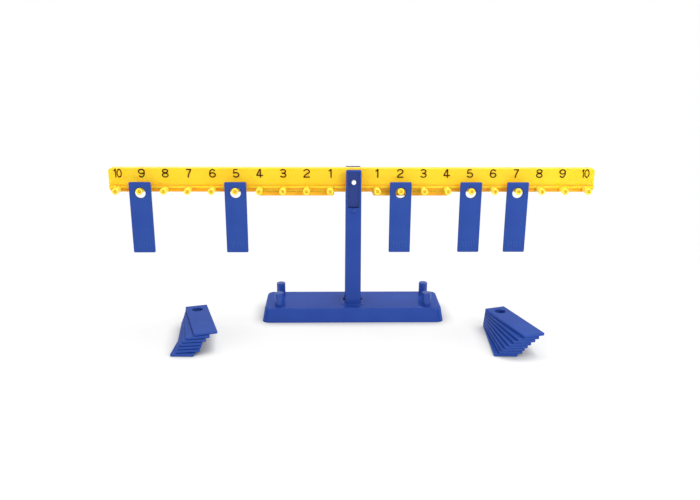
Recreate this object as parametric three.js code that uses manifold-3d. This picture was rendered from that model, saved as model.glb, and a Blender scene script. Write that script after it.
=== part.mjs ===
// Number balance: a beam of pegs on a forked column, with hung weights and spare weights on the table.
// Millimetres, +Z up, +X to the right of the number face, -Y towards the reader of the numbers.
// The origin is on the table under the middle of the base.

import * as THREE from 'three';
import { mergeVertices } from 'three/addons/utils/BufferGeometryUtils.js';
import Module from 'manifold-3d';

const wasm = await Module();
wasm.setup();

// Clearances
const SEAT_GAP = 0.3;
const PIN_PRONG_GAP = 0.2;
const PIN_HUB_GAP = 0.3;
const PIN_HEAD_GAP = 0.4;
const HANG_GAP = 0.2;
const STACK_GAP = 0.3;
const LATCH_ROOM = 0.9;
const PEG_SEAT_GAP = 0.02;

// How far a cutting body runs past what it cuts, and how deep a joined rib is rooted
const CUT_PAST = 5.0;
const ROOT = 0.5;

// Facets of the round features
const CORNER_STEPS = 4;
const SMALL_ROUND_STEPS = 3;
const BASE_CORNER_STEPS = 5;
const WEIGHT_CORNER_STEPS = 2;
const PEG_SIDES = 20;
const PIN_SIDES = 24;
const HUB_SIDES = 28;
const STORE_PEG_SIDES = 20;
const STORE_CORE_SIDES = 12;
const WEIGHT_HOLE_SIDES = 20;
const NUB_AROUND = 14;
const NUB_RINGS = 9;

// Pivot
const PIVOT_Z = 193.85;
const PIN_R = 3.0;
const PIN_STANDS_OUT = 4.2;
const PIN_NOSE = 1.3;
const PIN_NOSE_R = 1.9;
const PIN_NOSE_SHOULDER = 0.35;
const PIN_NOSE_SHOULDER_R = 2.65;
const PIN_HEAD_R = 5.2;
const PIN_HEAD_THICK = 2.1;
const PIN_HEAD_EDGE = 0.5;
const HUB_WALL = 5.2;
const HUB_R = PIN_R + PIN_HUB_GAP + HUB_WALL;

// Beam section
const PEG_PITCH = 31.75;
const PEGS_PER_ARM = 10;
const BEAM_END_MARGIN = 12.7;
const BEAM_HALF = PEG_PITCH * PEGS_PER_ARM + BEAM_END_MARGIN;
const BEAM_FACE_Y = -1.2;
const BEAM_PLATE = 3.0;
const BEAM_BACK_Y = BEAM_FACE_Y + BEAM_PLATE;
const BEAM_SHELF_REACH = 6.5;
const BEAM_DEPTH_Y = BEAM_BACK_Y + BEAM_SHELF_REACH;
const BEAM_ABOVE_PIVOT = 16.15;
const BEAM_TOP_Z = PIVOT_Z + BEAM_ABOVE_PIVOT;
const BEAM_BELOW_PIVOT = 16.35;
const BEAM_BOTTOM_Z = PIVOT_Z - BEAM_BELOW_PIVOT;
const BEAM_CORNER_R = 5.0;
const BEAM_END_WALL = 2.2;
const FLANGE_THICK = 2.5;
const SHELF_ABOVE_EDGE = 2.5;
const SHELF_LOW_Z = BEAM_BOTTOM_Z + SHELF_ABOVE_EDGE;
const SHELF_THICK = 2.5;
const SHELF_HIGH_Z = SHELF_LOW_Z + SHELF_THICK;
const LIP_THICK = 1.5;
const LIP_RISE = 2.0;
const LIP_TOP_Z = SHELF_HIGH_Z + LIP_RISE;
const BACK_RIB_THICK = 1.6;
const BACK_RIB_INSET = 1.7;
const BACK_RIB_Y = BEAM_DEPTH_Y - BACK_RIB_INSET;
const FULL_RIB_COUNT = 4;
const SHORT_RIB_COUNT = 2;

// Pegs: ten on each arm, one number step apart
const PEG_ABOVE_EDGE = 4.25;
const PEG_Z = BEAM_BOTTOM_Z + PEG_ABOVE_EDGE;
const PEG_R = 4.0;
const PEG_TAPER = 0.15;
const PEG_ROOT_R = PEG_R + PEG_TAPER;
const PEG_HEAD_OVERHANG = 0.5;
const PEG_HEAD_R = PEG_R + PEG_HEAD_OVERHANG;
const PEG_LENGTH = 19.6;
const PEG_TIP_Y = BEAM_FACE_Y - PEG_LENGTH;
const PEG_HEAD_LENGTH = 2.3;
const PEG_HEAD_SHOULDER = 0.4;
const PEG_HEAD_CHAMFER = 0.6;
const PEG_TIP_R = PEG_HEAD_R - PEG_HEAD_CHAMFER;
const PEG_DIMPLE_R = 2.2;
const PEG_DIMPLE_DEPTH = 3.0;

// Front rib, over the peg row
const RIB_REACH = 3.0;
const RIB_FRONT_Y = BEAM_FACE_Y - RIB_REACH;
const RIB_ABOVE_PEG = 1.25;
const RIB_LOW_Z = PEG_Z + RIB_ABOVE_PEG;
const RIB_THICK = 3.0;
const RIB_HIGH_Z = RIB_LOW_Z + RIB_THICK;

// Bosses that the pegs stand on, a little proud of the rib
const BOSS_PROUD = 0.2;
const BOSS_FRONT_Y = RIB_FRONT_Y - BOSS_PROUD;
const BOSS_INSET = 1.0;
const BOSS_BACK_Y = BEAM_BACK_Y - BOSS_INSET;
const PEG_SEAT_Y = BOSS_FRONT_Y - PEG_SEAT_GAP;

// Column and fork
const SOCKET_FLOOR = 2.2;
const COLUMN_FOOT_Z = SOCKET_FLOOR + SEAT_GAP;
const COLUMN_TOP_Z = BEAM_TOP_Z;
const COLUMN_FOOT_HALF = [11.05, 17.6];
const COLUMN_TAPER = [0.7, 0.6];
const COLUMN_TOP_HALF = [COLUMN_FOOT_HALF[0] - COLUMN_TAPER[0], COLUMN_FOOT_HALF[1] - COLUMN_TAPER[1]];
const COLUMN_EDGE_R = 1.6;
const COLUMN_TOP_ROUND = 1.4;
const COLUMN_TOP_EDGE_R = 0.6;
const COLUMN_TOP_MIDWAY = 0.42;
const COLUMN_WALL = 2.6;
const COLUMN_HOLLOW_CORNER_R = 1.0;
const PRONG_THICK = 4.0;
const FORK_HALF_Y = COLUMN_TOP_HALF[1] - PRONG_THICK;
const FORK_ROOM_BELOW = 17.5;
const FORK_FLOOR_Z = BEAM_BOTTOM_Z - FORK_ROOM_BELOW;
const FORK_FLOOR_THICK = 8.0;
const COLUMN_HOLLOW_TOP_Z = FORK_FLOOR_Z - FORK_FLOOR_THICK;
const PANEL_SIDE_RIM = 2.5;
const PANEL_HALF_X = COLUMN_TOP_HALF[0] - PANEL_SIDE_RIM;
const PANEL_BELOW_FORK = 1.6;
const PANEL_LOW_Z = FORK_FLOOR_Z - PANEL_BELOW_FORK;
const PANEL_TOP_RIM = 2.4;
const PANEL_HIGH_Z = COLUMN_TOP_Z - PANEL_TOP_RIM;
const PANEL_CORNER_R = 1.2;
const PANEL_DEPTH = 1.45;
const PANEL_FLOOR_Y = COLUMN_TOP_HALF[1] - PANEL_DEPTH;
const PANEL_LEAN_TALL = 14.0;
const PANEL_LEAN_TOP_Z = PANEL_LOW_Z + PANEL_LEAN_TALL;
const PANEL_LEAN_DEPTH = 1.2;
const PANEL_FOOT_Y = PANEL_FLOOR_Y - PANEL_LEAN_DEPTH;
const PANEL_SLOT_DEPTH = 1.6;
const PANEL_SLOT_Y = PANEL_FOOT_Y - PANEL_SLOT_DEPTH;
const PANEL_SLOT_TALL = 0.9;
const PANEL_SLOT_TOP_Z = PANEL_LOW_Z + PANEL_SLOT_TALL;
const NUB_HALF = [4.0, 2.4, 4.2];
const NUB_Z = PANEL_LOW_Z - NUB_HALF[2];

// Base
const BASE_BOTTOM_HALF = [126.0, 37.5];
const BASE_DRAFT = [3.5, 3.0];
const BASE_TOP_HALF = [BASE_BOTTOM_HALF[0] - BASE_DRAFT[0], BASE_BOTTOM_HALF[1] - BASE_DRAFT[1]];
const BASE_HEIGHT = 20.2;
const BASE_CORNER_R = 9.0;
const BASE_EDGE_R = 2.6;
const BASE_EDGE_DEGREES = [0, 30, 60, 90];
const BASE_WALL = 2.4;
const BASE_RIB_THICK = 1.8;
const BASE_RIB_FOOT_Z = 1.2;
const BASE_CROSS_RIB_SHARE = [0.36, 0.67];
const COLLAR_HEIGHT = 0.9;
const COLLAR_CHAMFER = 0.5;
const COLLAR_REACH = 0.4;
const COLLAR_CORNER_R = 2.2;

// Latch tabs on the column's foot, in notches of the socket
const LATCH_OUT = 1.5;
const LATCH_HALF_Y = 3.6;
const LATCH_REACH_X = COLUMN_FOOT_HALF[0] + LATCH_OUT;
const LATCH_BELOW_TOP = 3.0;
const LATCH_HIGH_Z = BASE_HEIGHT - LATCH_BELOW_TOP;
const LATCH_TALL = 4.5;
const LATCH_LOW_Z = LATCH_HIGH_Z - LATCH_TALL;
const NOTCH_REACH_X = LATCH_REACH_X + LATCH_ROOM;
const NOTCH_SIDE_ROOM = 0.6;
const NOTCH_HALF_Y = LATCH_HALF_Y + NOTCH_SIDE_ROOM;
const NOTCH_ROOM_BELOW = 4.0;
const NOTCH_LOW_Z = LATCH_LOW_Z - NOTCH_ROOM_BELOW;
const SOCKET_HALF_X = COLUMN_FOOT_HALF[0] + SEAT_GAP;
const SOCKET_HALF_Y = COLUMN_FOOT_HALF[1] + SEAT_GAP;
const SOCKET_SIDE_WALL = 2.3;
const SOCKET_OUT_X = NOTCH_REACH_X + SOCKET_SIDE_WALL;
const SOCKET_END_WALL = 2.6;
const SOCKET_OUT_Y = SOCKET_HALF_Y + SOCKET_END_WALL;

// Weights: flat bars of ten grams with a hanging hole near one end
const WEIGHT_SIDE_ROOM = 2.45;
const WEIGHT_WIDTH = PEG_PITCH - WEIGHT_SIDE_ROOM;
const WEIGHT_LENGTH = 97.9;
const WEIGHT_THICK = 3.5;
const WEIGHT_CORNER_R = 1.6;
const WEIGHT_HOLE_ROOM = 2.6;
const WEIGHT_HOLE_R = PEG_HEAD_R + WEIGHT_HOLE_ROOM;
const WEIGHT_HOLE_INSET = WEIGHT_WIDTH / 2;
const WEIGHT_BEHIND_HEAD = 2.1;
const WEIGHT_HUNG_FRONT_Y = PEG_TIP_Y + PEG_HEAD_LENGTH + WEIGHT_BEHIND_HEAD;
const WEIGHT_HUNG_HOLE_Z = PEG_Z + PEG_R + HANG_GAP - WEIGHT_HOLE_R;

// Storage pegs on the base: five weights fit over each
const STORE_PEG_INSET = [19.5, 13.4];
const STORE_PEG_X = BASE_TOP_HALF[0] - STORE_PEG_INSET[0];
const STORE_PEG_Y = BASE_TOP_HALF[1] - STORE_PEG_INSET[1];
const STORE_PEG_ROOM = 0.9;
const STORE_PEG_R = WEIGHT_HOLE_R - STORE_PEG_ROOM;
const STORED_PER_PEG = 5;
const STORE_PEG_SPARE = 1.0;
const STORE_PEG_HEIGHT = WEIGHT_THICK * STORED_PER_PEG + STORE_PEG_SPARE;
const STORE_PEG_ROUND = 1.4;
const STORE_PEG_ROUND_MIDWAY = 0.3;
const STORE_PEG_ROOT = 1.5;
const STORE_PEG_WALL = 2.2;
const STORE_PEG_CORE_R = STORE_PEG_R - STORE_PEG_WALL;
const STORE_PEG_TOP_WALL = 2.4;

// Zero sliders, one on each arm
const SLIDER_FROM_COLUMN = 15.85;
const SLIDER_IN_X = COLUMN_TOP_HALF[0] + SLIDER_FROM_COLUMN;
const SLIDER_LENGTH = 104.8;
const SLIDER_OUT_X = SLIDER_IN_X + SLIDER_LENGTH;
const SLIDER_IN_TRAVEL = 4.8;
const SLIDER_OUT_TRAVEL = 12.0;
const SLIDER_WALL = 2.0;
const SLIDER_BELOW_BEAM = 5.3;
const SLIDER_LOW_Z = BEAM_BOTTOM_Z - SLIDER_BELOW_BEAM;
const SLIDER_SET_BACK = 0.2;
const SLIDER_FRONT_Y = BEAM_FACE_Y + SLIDER_SET_BACK;
const SLIDER_BACK_Y = BEAM_DEPTH_Y + SEAT_GAP + SLIDER_WALL;
const SLIDER_HOOK_LOW_Z = LIP_TOP_Z + SEAT_GAP;
const SLIDER_HOOK_THICK = 2.2;
const SLIDER_HOOK_Z = SLIDER_HOOK_LOW_Z + SLIDER_HOOK_THICK;
const SLIDER_TOOTH_THICK = 2.1;
const SLIDER_CORNER_R = 3.0;
const SLIDER_RIB_ROOM = 2.0;

// Which pegs carry a weight: five and nine on the left balance two, five and seven on the right
const HUNG = [
  { name: 'weight_on_left_9', step: -9 },
  { name: 'weight_on_left_5', step: -5 },
  { name: 'weight_on_right_2', step: 2 },
  { name: 'weight_on_right_5', step: 5 },
  { name: 'weight_on_right_7', step: 7 },
];

// Spare weights, fanned from the table up: the hole's place in the lowest and the highest one,
// and each one's turn about its hole in degrees; the left fan lies on one weight that slid away from it
const LEFT_STRAY_AT = [-213.1, -62.8];
const LEFT_STRAY_TURN = -2.0;
const LEFT_STACK_FOOT = [-218.4, -60.1];
const LEFT_STACK_TOP = [-211.4, -51.9];
const LEFT_STACK_TURNS = [6.5, 6.6, 6.7, 8.7, 11.0, 16.8];
const RIGHT_STACK_FOOT = [191.9, -67.5];
const RIGHT_STACK_TOP = [195.6, -72.0];
const RIGHT_STACK_TURNS = [-3.1, 0.8, 2.2, 4.4, 6.9, 10.3, 13.4, 18.1];

// Finishes
const BLUE = new THREE.Color(0.06, 0.1, 0.42);
const WEIGHT_BLUE = new THREE.Color(0.07, 0.12, 0.45);
const YELLOW = new THREE.Color(0.98, 0.72, 0.03);
const WHITE = new THREE.Color(0.93, 0.93, 0.92);

function plastic(color, roughness) {
  return new THREE.MeshStandardMaterial({ color, roughness, metalness: 0 });
}

// Turns a closed surface into a solid that can be cut and joined.
function solidOf(geometry) {
  const bare = geometry.clone();
  bare.deleteAttribute('normal');
  bare.deleteAttribute('uv');
  const joined = mergeVertices(bare, 1e-5);
  const vertProperties = new Float32Array(joined.attributes.position.array);
  const triVerts = new Uint32Array(joined.index.array);
  return new wasm.Manifold(new wasm.Mesh({ numProp: 3, vertProperties, triVerts }));
}

// Turns a solid back into a named mesh with its own finish.
function meshOf(name, solid, material) {
  const data = solid.getMesh();
  const geometry = new THREE.BufferGeometry();
  geometry.setAttribute('position', new THREE.BufferAttribute(new Float32Array(data.vertProperties), 3));
  geometry.setIndex(new THREE.BufferAttribute(new Uint32Array(data.triVerts), 1));
  geometry.computeVertexNormals();
  const mesh = new THREE.Mesh(geometry, material);
  mesh.name = name;
  return mesh;
}

function box(x0, x1, y0, y1, z0, z1) {
  const geometry = new THREE.BoxGeometry(x1 - x0, y1 - y0, z1 - z0);
  geometry.translate((x0 + x1) / 2, (y0 + y1) / 2, (z0 + z1) / 2);
  return solidOf(geometry);
}

// A closed skin through rings of points that lie level, one above the other.
function loft(levels) {
  const count = levels[0].ring.length;
  const positions = [];
  const index = [];
  for (const level of levels) {
    for (const [x, y] of level.ring) {
      positions.push(x, y, level.z);
    }
  }
  for (let k = 0; k + 1 < levels.length; k += 1) {
    for (let i = 0; i < count; i += 1) {
      const next = (i + 1) % count;
      const a = k * count + i;
      const b = k * count + next;
      index.push(a, b, b + count, a, b + count, a + count);
    }
  }
  const last = (levels.length - 1) * count;
  for (let i = 1; i + 1 < count; i += 1) {
    index.push(0, i + 1, i);
    index.push(last, last + i, last + i + 1);
  }
  const geometry = new THREE.BufferGeometry();
  geometry.setAttribute('position', new THREE.Float32BufferAttribute(positions, 3));
  geometry.setIndex(index);
  return solidOf(geometry);
}

// Ring of a rectangle with round corners, anticlockwise from above.
function roundedRing(halfX, halfY, radius, steps) {
  const ring = [];
  const centres = [
    [halfX - radius, halfY - radius],
    [radius - halfX, halfY - radius],
    [radius - halfX, radius - halfY],
    [halfX - radius, radius - halfY],
  ];
  centres.forEach(([cx, cy], corner) => {
    for (let i = 0; i <= steps; i += 1) {
      const angle = (Math.PI / 2) * (corner + i / steps);
      ring.push([cx + radius * Math.cos(angle), cy + radius * Math.sin(angle)]);
    }
  });
  return ring;
}

// A solid of revolution about +Z; the profile runs from pole to pole as [radius, height].
function spin(profile, sides) {
  const positions = [];
  const index = [];
  const starts = [];
  for (const [radius, height] of profile) {
    starts.push(positions.length / 3);
    const around = radius === 0 ? 1 : sides;
    for (let i = 0; i < around; i += 1) {
      const angle = (2 * Math.PI * (i + 0.5)) / sides;
      positions.push(radius * Math.cos(angle), radius * Math.sin(angle), height);
    }
  }
  for (let k = 0; k + 1 < profile.length; k += 1) {
    const lowPole = profile[k][0] === 0;
    const highPole = profile[k + 1][0] === 0;
    for (let i = 0; i < sides; i += 1) {
      const next = (i + 1) % sides;
      const a = lowPole ? starts[k] : starts[k] + i;
      const b = lowPole ? starts[k] : starts[k] + next;
      const c = highPole ? starts[k + 1] : starts[k + 1] + next;
      const d = highPole ? starts[k + 1] : starts[k + 1] + i;
      if (!lowPole) {
        index.push(a, b, c);
      }
      if (!highPole) {
        index.push(a, c, d);
      }
    }
  }
  const geometry = new THREE.BufferGeometry();
  geometry.setAttribute('position', new THREE.Float32BufferAttribute(positions, 3));
  geometry.setIndex(index);
  return geometry;
}

// The same, pointing to the front: heights run from backY towards -Y.
function spinForward(profile, sides, x, backY, z) {
  const geometry = spin(profile, sides);
  geometry.rotateX(Math.PI / 2);
  geometry.translate(x, backY, z);
  return solidOf(geometry);
}

function rodY(x, z, radius, y0, y1, sides) {
  return spinForward([[0, 0], [radius, 0], [radius, y1 - y0], [0, y1 - y0]], sides, x, y1, z);
}

// A section drawn in Y and Z, drawn out along X.
function barX(points, x0, x1) {
  const shape = new THREE.Shape(points.map(([y, z]) => new THREE.Vector2(y, z)));
  const geometry = new THREE.ExtrudeGeometry(shape, { depth: x1 - x0, bevelEnabled: false });
  const turn = new THREE.Matrix4();
  turn.makeBasis(new THREE.Vector3(0, 1, 0), new THREE.Vector3(0, 0, 1), new THREE.Vector3(1, 0, 0));
  geometry.applyMatrix4(turn);
  geometry.translate(x0, 0, 0);
  return solidOf(geometry);
}

// An outline drawn in X and Z, as thick as y1 - y0.
function slabY(points, y0, y1) {
  const shape = new THREE.Shape(points.map(([x, z]) => new THREE.Vector2(x, z)));
  const geometry = new THREE.ExtrudeGeometry(shape, { depth: y1 - y0, bevelEnabled: false });
  const turn = new THREE.Matrix4();
  turn.makeBasis(new THREE.Vector3(1, 0, 0), new THREE.Vector3(0, 0, 1), new THREE.Vector3(0, -1, 0));
  geometry.applyMatrix4(turn);
  geometry.translate(0, y1, 0);
  return solidOf(geometry);
}

function roundedSlabY(x0, x1, z0, z1, radius, y0, y1) {
  const cx = (x0 + x1) / 2;
  const cz = (z0 + z1) / 2;
  const ring = roundedRing((x1 - x0) / 2, (z1 - z0) / 2, radius, CORNER_STEPS);
  return slabY(ring.map(([x, z]) => [cx + x, cz + z]), y0, y1);
}

// Base: drafted tray with a rounded top edge, open below
function baseHalf(z) {
  const share = z / BASE_HEIGHT;
  return [0, 1].map((i) => BASE_BOTTOM_HALF[i] + (BASE_TOP_HALF[i] - BASE_BOTTOM_HALF[i]) * share);
}

function baseRing(z, inset, steps) {
  const [halfX, halfY] = baseHalf(Math.max(z, 0));
  return roundedRing(halfX - inset, halfY - inset, BASE_CORNER_R - inset, steps);
}

function makeBase() {
  const outerLevels = [{ z: 0, ring: baseRing(0, 0, BASE_CORNER_STEPS) }];
  for (const degrees of BASE_EDGE_DEGREES) {
    const angle = THREE.MathUtils.degToRad(degrees);
    const z = BASE_HEIGHT - BASE_EDGE_R + BASE_EDGE_R * Math.sin(angle);
    outerLevels.push({ z, ring: baseRing(z, BASE_EDGE_R * (1 - Math.cos(angle)), BASE_CORNER_STEPS) });
  }
  const outer = loft(outerLevels);
  const hollowTop = BASE_HEIGHT - BASE_WALL;
  const hollow = loft([
    { z: -CUT_PAST, ring: baseRing(0, BASE_WALL, CORNER_STEPS) },
    { z: hollowTop, ring: baseRing(hollowTop, BASE_WALL, CORNER_STEPS) },
  ]);
  const ribTop = BASE_HEIGHT - BASE_WALL / 2;
  let inside = box(-SOCKET_OUT_X, SOCKET_OUT_X, -SOCKET_OUT_Y, SOCKET_OUT_Y, 0, ribTop);
  const half = BASE_RIB_THICK / 2;
  inside = inside.add(box(-BASE_BOTTOM_HALF[0], BASE_BOTTOM_HALF[0], -half, half, BASE_RIB_FOOT_Z, ribTop));
  for (const share of BASE_CROSS_RIB_SHARE) {
    for (const x of [-share * BASE_BOTTOM_HALF[0], share * BASE_BOTTOM_HALF[0]]) {
      inside = inside.add(box(
        x - half,
        x + half,
        -BASE_BOTTOM_HALF[1],
        BASE_BOTTOM_HALF[1],
        BASE_RIB_FOOT_Z,
        ribTop,
      ));
    }
  }
  const midWall = loft([
    { z: 0, ring: baseRing(0, BASE_WALL / 2, CORNER_STEPS) },
    { z: ribTop, ring: baseRing(ribTop, BASE_WALL / 2, CORNER_STEPS) },
  ]);
  let tray = outer.subtract(hollow).add(inside.intersect(midWall));
  const collarX = SOCKET_OUT_X + COLLAR_REACH;
  const collarY = SOCKET_OUT_Y + COLLAR_REACH;
  const collarEdge = BASE_HEIGHT + COLLAR_HEIGHT - COLLAR_CHAMFER;
  const collar = loft([
    { z: ribTop - ROOT, ring: roundedRing(collarX, collarY, COLLAR_CORNER_R, SMALL_ROUND_STEPS) },
    { z: collarEdge, ring: roundedRing(collarX, collarY, COLLAR_CORNER_R, SMALL_ROUND_STEPS) },
    {
      z: BASE_HEIGHT + COLLAR_HEIGHT,
      ring: roundedRing(
        collarX - COLLAR_CHAMFER,
        collarY - COLLAR_CHAMFER,
        COLLAR_CORNER_R - COLLAR_CHAMFER,
        SMALL_ROUND_STEPS,
      ),
    },
  ]);
  tray = tray.add(collar);
  const openTop = BASE_HEIGHT + COLLAR_HEIGHT + CUT_PAST;
  tray = tray.subtract(
    box(-SOCKET_HALF_X, SOCKET_HALF_X, -SOCKET_HALF_Y, SOCKET_HALF_Y, SOCKET_FLOOR, openTop),
  );
  tray = tray.subtract(
    box(-NOTCH_REACH_X, NOTCH_REACH_X, -NOTCH_HALF_Y, NOTCH_HALF_Y, NOTCH_LOW_Z, openTop),
  );
  const pegTop = BASE_HEIGHT + STORE_PEG_HEIGHT;
  const roundPart = STORE_PEG_ROUND_MIDWAY * STORE_PEG_ROUND;
  const pegProfile = [
    [0, BASE_HEIGHT - STORE_PEG_ROOT],
    [STORE_PEG_R, BASE_HEIGHT - STORE_PEG_ROOT],
    [STORE_PEG_R, pegTop - STORE_PEG_ROUND],
    [STORE_PEG_R - roundPart, pegTop - roundPart],
    [STORE_PEG_R - STORE_PEG_ROUND, pegTop],
    [0, pegTop],
  ];
  const coreTop = pegTop - STORE_PEG_TOP_WALL;
  const coreProfile = [[0, 0], [STORE_PEG_CORE_R, 0], [STORE_PEG_CORE_R, coreTop], [0, coreTop]];
  for (const x of [-STORE_PEG_X, STORE_PEG_X]) {
    for (const y of [-STORE_PEG_Y, STORE_PEG_Y]) {
      const peg = spin(pegProfile, STORE_PEG_SIDES);
      peg.translate(x, y, 0);
      const core = spin(coreProfile, STORE_CORE_SIDES);
      core.translate(x, y, 0);
      tray = tray.add(solidOf(peg)).subtract(solidOf(core));
    }
  }
  return tray;
}

// Column: hollow, slightly tapered, forked at the top
function columnRing(z, inset, radius) {
  const share = (z - COLUMN_FOOT_Z) / (COLUMN_TOP_Z - COLUMN_FOOT_Z);
  const half = [0, 1].map(
    (i) => COLUMN_FOOT_HALF[i] + (COLUMN_TOP_HALF[i] - COLUMN_FOOT_HALF[i]) * share - inset,
  );
  return roundedRing(half[0], half[1], radius, SMALL_ROUND_STEPS);
}

function makeColumn() {
  const shoulder = COLUMN_TOP_Z - COLUMN_TOP_ROUND;
  const midway = COLUMN_TOP_MIDWAY;
  let column = loft([
    { z: COLUMN_FOOT_Z, ring: columnRing(COLUMN_FOOT_Z, 0, COLUMN_EDGE_R) },
    { z: shoulder, ring: columnRing(shoulder, 0, COLUMN_EDGE_R) },
    { z: COLUMN_TOP_Z - midway, ring: columnRing(shoulder, midway, COLUMN_EDGE_R - midway) },
    { z: COLUMN_TOP_Z, ring: columnRing(shoulder, COLUMN_TOP_ROUND, COLUMN_TOP_EDGE_R) },
  ]);
  column = column.subtract(loft([
    { z: COLUMN_FOOT_Z - CUT_PAST, ring: columnRing(COLUMN_FOOT_Z, COLUMN_WALL, COLUMN_HOLLOW_CORNER_R) },
    {
      z: COLUMN_HOLLOW_TOP_Z,
      ring: columnRing(COLUMN_HOLLOW_TOP_Z, COLUMN_WALL, COLUMN_HOLLOW_CORNER_R),
    },
  ]));
  const cutX = COLUMN_FOOT_HALF[0] + CUT_PAST;
  const cutY = COLUMN_FOOT_HALF[1] + CUT_PAST;
  column = column.subtract(
    box(-cutX, cutX, -FORK_HALF_Y, FORK_HALF_Y, FORK_FLOOR_Z, COLUMN_TOP_Z + CUT_PAST),
  );
  for (const [y0, y1] of [[-cutY, -PANEL_FLOOR_Y], [PANEL_FLOOR_Y, cutY]]) {
    column = column.subtract(
      roundedSlabY(-PANEL_HALF_X, PANEL_HALF_X, PANEL_LOW_Z, PANEL_HIGH_Z, PANEL_CORNER_R, y0, y1),
    );
  }
  const leanX = PANEL_HALF_X - PANEL_CORNER_R;
  for (const side of [-1, 1]) {
    const lean = [
      [side * PANEL_FLOOR_Y, PANEL_LEAN_TOP_Z],
      [side * PANEL_FOOT_Y, PANEL_SLOT_TOP_Z],
      [side * PANEL_SLOT_Y, PANEL_SLOT_TOP_Z],
      [side * PANEL_SLOT_Y, PANEL_LOW_Z],
      [side * cutY, PANEL_LOW_Z],
      [side * cutY, PANEL_LEAN_TOP_Z],
    ];
    column = column.subtract(barX(side > 0 ? lean : lean.reverse(), -leanX, leanX));
  }
  const nub = new THREE.SphereGeometry(1, NUB_AROUND, NUB_RINGS);
  nub.scale(...NUB_HALF);
  nub.translate(0, -COLUMN_TOP_HALF[1], NUB_Z);
  column = column.add(solidOf(nub));
  column = column.subtract(rodY(0, PIVOT_Z, PIN_R + PIN_PRONG_GAP, -cutY, cutY, PIN_SIDES));
  const latchIn = COLUMN_FOOT_HALF[0] - COLUMN_WALL / 2;
  for (const [x0, x1] of [[-LATCH_REACH_X, -latchIn], [latchIn, LATCH_REACH_X]]) {
    column = column.add(box(x0, x1, -LATCH_HALF_Y, LATCH_HALF_Y, LATCH_LOW_Z, LATCH_HIGH_Z));
  }
  return column;
}

// Pin: round nose in front, flat head behind the back prong
function makePin() {
  const backFace = COLUMN_TOP_HALF[1] + PIN_HEAD_GAP;
  const headBack = backFace + PIN_HEAD_THICK;
  const length = headBack + COLUMN_TOP_HALF[1] + PIN_STANDS_OUT;
  return spinForward([
    [0, 0],
    [PIN_HEAD_R - PIN_HEAD_EDGE, 0],
    [PIN_HEAD_R, PIN_HEAD_EDGE],
    [PIN_HEAD_R, PIN_HEAD_THICK],
    [PIN_R, PIN_HEAD_THICK],
    [PIN_R, length - PIN_NOSE],
    [PIN_NOSE_SHOULDER_R, length - PIN_NOSE * PIN_NOSE_SHOULDER],
    [PIN_NOSE_R, length],
    [0, length],
  ], PIN_SIDES, 0, headBack, PIVOT_Z);
}

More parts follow.
